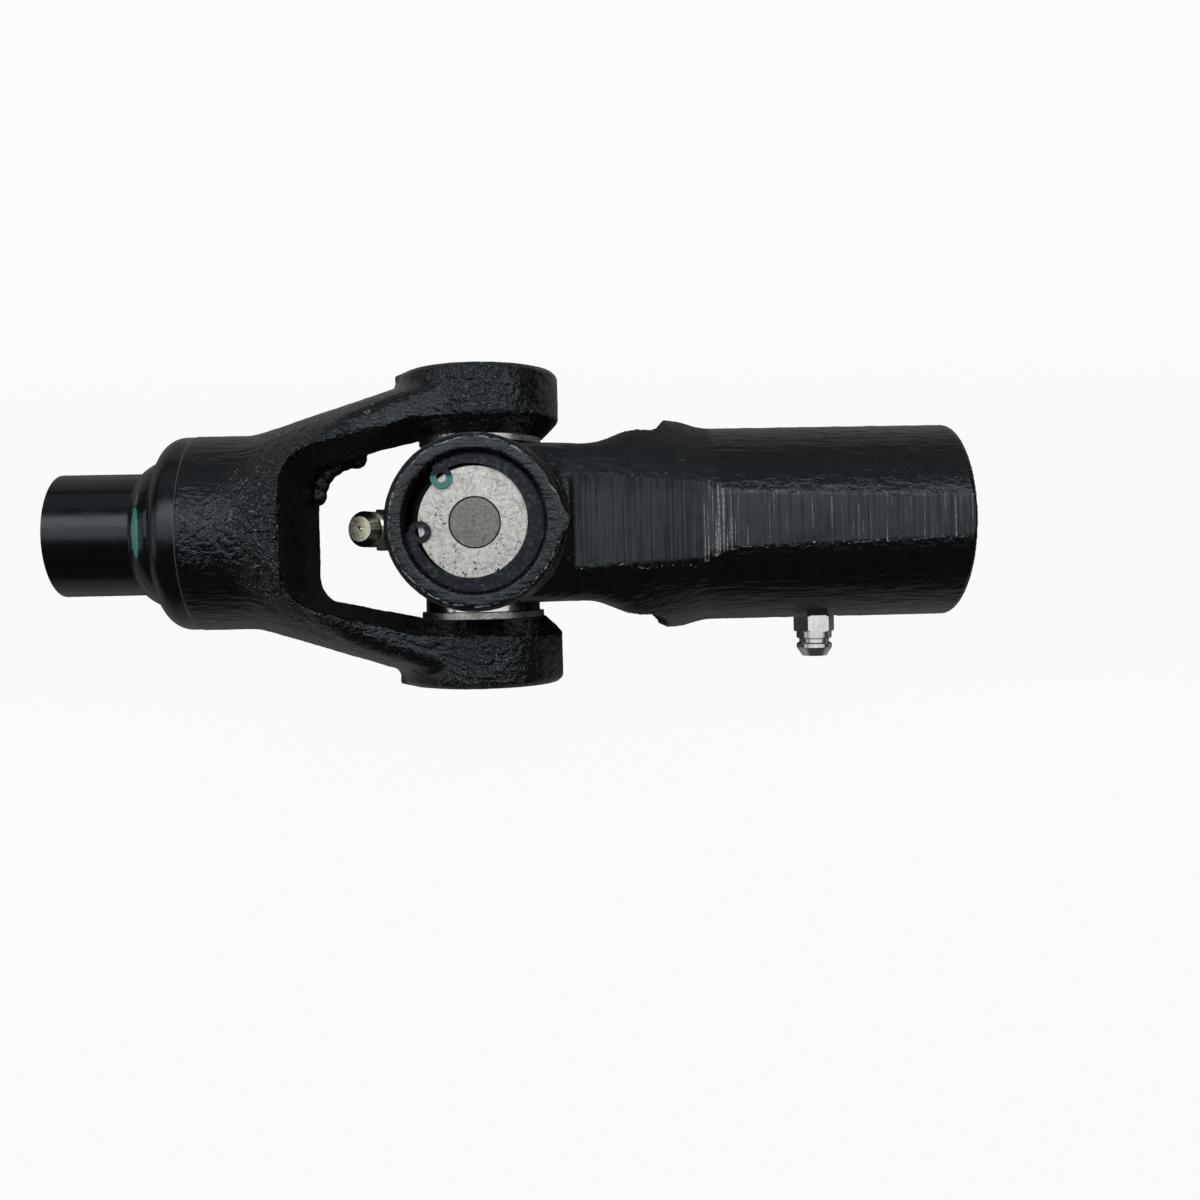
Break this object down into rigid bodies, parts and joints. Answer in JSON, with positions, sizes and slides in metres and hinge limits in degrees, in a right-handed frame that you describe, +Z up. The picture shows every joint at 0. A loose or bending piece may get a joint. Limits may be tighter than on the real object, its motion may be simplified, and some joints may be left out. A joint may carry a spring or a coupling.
{
  "type": "drive shaft universal joint",
  "caption": "Drive shaft end: a tube welded to a forged yoke, joined by a needle-bearing cross with circlips and grease nipples to a yoke with an internally splined slip sleeve.",
  "frame": {"origin": "centre of the splined sleeve's mouth, on the shaft's axis", "axes": "+X along the shaft and out of the sleeve's mouth, +Y along the tube yoke's ears and away from the sleeve's grease nipple, +Z up along the sleeve yoke's ears, towards the side pictured"},
  "size_m": [0.195, 0.0684, 0.0684],
  "materials": {
    "black_enamel": "satin black enamel over a rough forging, worn to bare steel on the ground stripes and edges",
    "black_tube": "smooth satin black enamel over a drawn tube, turned band and weld",
    "bearing_steel": "ground bearing steel with fine scratches",
    "guard_steel": "pressed bright steel",
    "needle_steel": "polished bearing steel",
    "blued_steel": "dark phosphated spring steel, satin",
    "spring_steel": "drawn spring wire",
    "seal_rubber": "moulded black rubber, matt",
    "nylon": "natural nylon, matt",
    "yellow_zinc": "yellow passivated zinc plate, satin",
    "bright_zinc": "clear zinc plate, satin"
  },
  "bodies": {
    "sleeve": {"sleeve_yoke": "black_enamel", "sleeve_plug": "black_enamel", "sleeve_nipple": "bright_zinc", "sleeve_nipple_spring": "spring_steel", "cup_sleeve_top": "bearing_steel", "cup_sleeve_bottom": "bearing_steel", "circlip_sleeve_top": "blued_steel", "circlip_sleeve_bottom": "blued_steel", "thrust_washer_sleeve_top": "nylon", "thrust_washer_sleeve_bottom": "nylon"},
    "cross": {"cross": "bearing_steel", "cross_nipple": "yellow_zinc", "cross_nipple_spring": "spring_steel", "seal_sleeve_top": "seal_rubber", "seal_sleeve_bottom": "seal_rubber", "seal_tube_left": "seal_rubber", "seal_tube_right": "seal_rubber", "guard_sleeve_top": "guard_steel", "guard_sleeve_bottom": "guard_steel", "guard_tube_left": "guard_steel", "guard_tube_right": "guard_steel"},
    "tube": {"tube_yoke": "black_enamel", "tube": "black_tube", "weld_bead": "black_tube", "cup_tube_left": "bearing_steel", "cup_tube_right": "bearing_steel", "circlip_tube_left": "blued_steel", "circlip_tube_right": "blued_steel", "thrust_washer_tube_left": "nylon", "thrust_washer_tube_right": "nylon"},
    "sleeve_needles": {"needles_sleeve_top": "needle_steel", "needles_sleeve_bottom": "needle_steel"},
    "tube_needles": {"needles_tube_left": "needle_steel", "needles_tube_right": "needle_steel"},
    "sleeve_nipple_ball": {"sleeve_nipple_ball": "needle_steel"},
    "cross_nipple_ball": {"cross_nipple_ball": "needle_steel"}
  },
  "joints": [
    {"name": "sleeve_pivot", "type": "hinge", "parent": "sleeve", "child": "cross", "pos_m": [-0.104, 0, 0], "axis": [0, 0, 1], "range_deg": [-30, 30]},
    {"name": "tube_pivot", "type": "hinge", "parent": "cross", "child": "tube", "pos_m": [-0.104, 0, 0], "axis": [0, 1, 0], "range_deg": [-30, 30]},
    {"name": "sleeve_needle_roll", "type": "hinge", "parent": "sleeve", "child": "sleeve_needles", "pos_m": [-0.104, 0, 0], "axis": [0, 0, 1], "range_deg": [-14, 14]},
    {"name": "tube_needle_roll", "type": "hinge", "parent": "cross", "child": "tube_needles", "pos_m": [-0.104, 0, 0], "axis": [0, 1, 0], "range_deg": [-18, 18]},
    {"name": "sleeve_ball_lift", "type": "slide", "parent": "sleeve", "child": "sleeve_nipple_ball", "axis": [0, 1, 0], "range_m": [0, 0.0006], "stiffness_N_per_m": 30, "springref_m": -0.0005},
    {"name": "cross_ball_lift", "type": "slide", "parent": "cross", "child": "cross_nipple_ball", "axis": [0.3827, 0, -0.9239], "range_m": [0, 0.0006], "stiffness_N_per_m": 30, "springref_m": -0.0005}
  ],
  "couplings": [
    {"joint": "sleeve_needle_roll", "follows": "sleeve_pivot", "ratio": 0.4336},
    {"joint": "tube_needle_roll", "follows": "tube_pivot", "ratio": 0.5664}
  ]
}
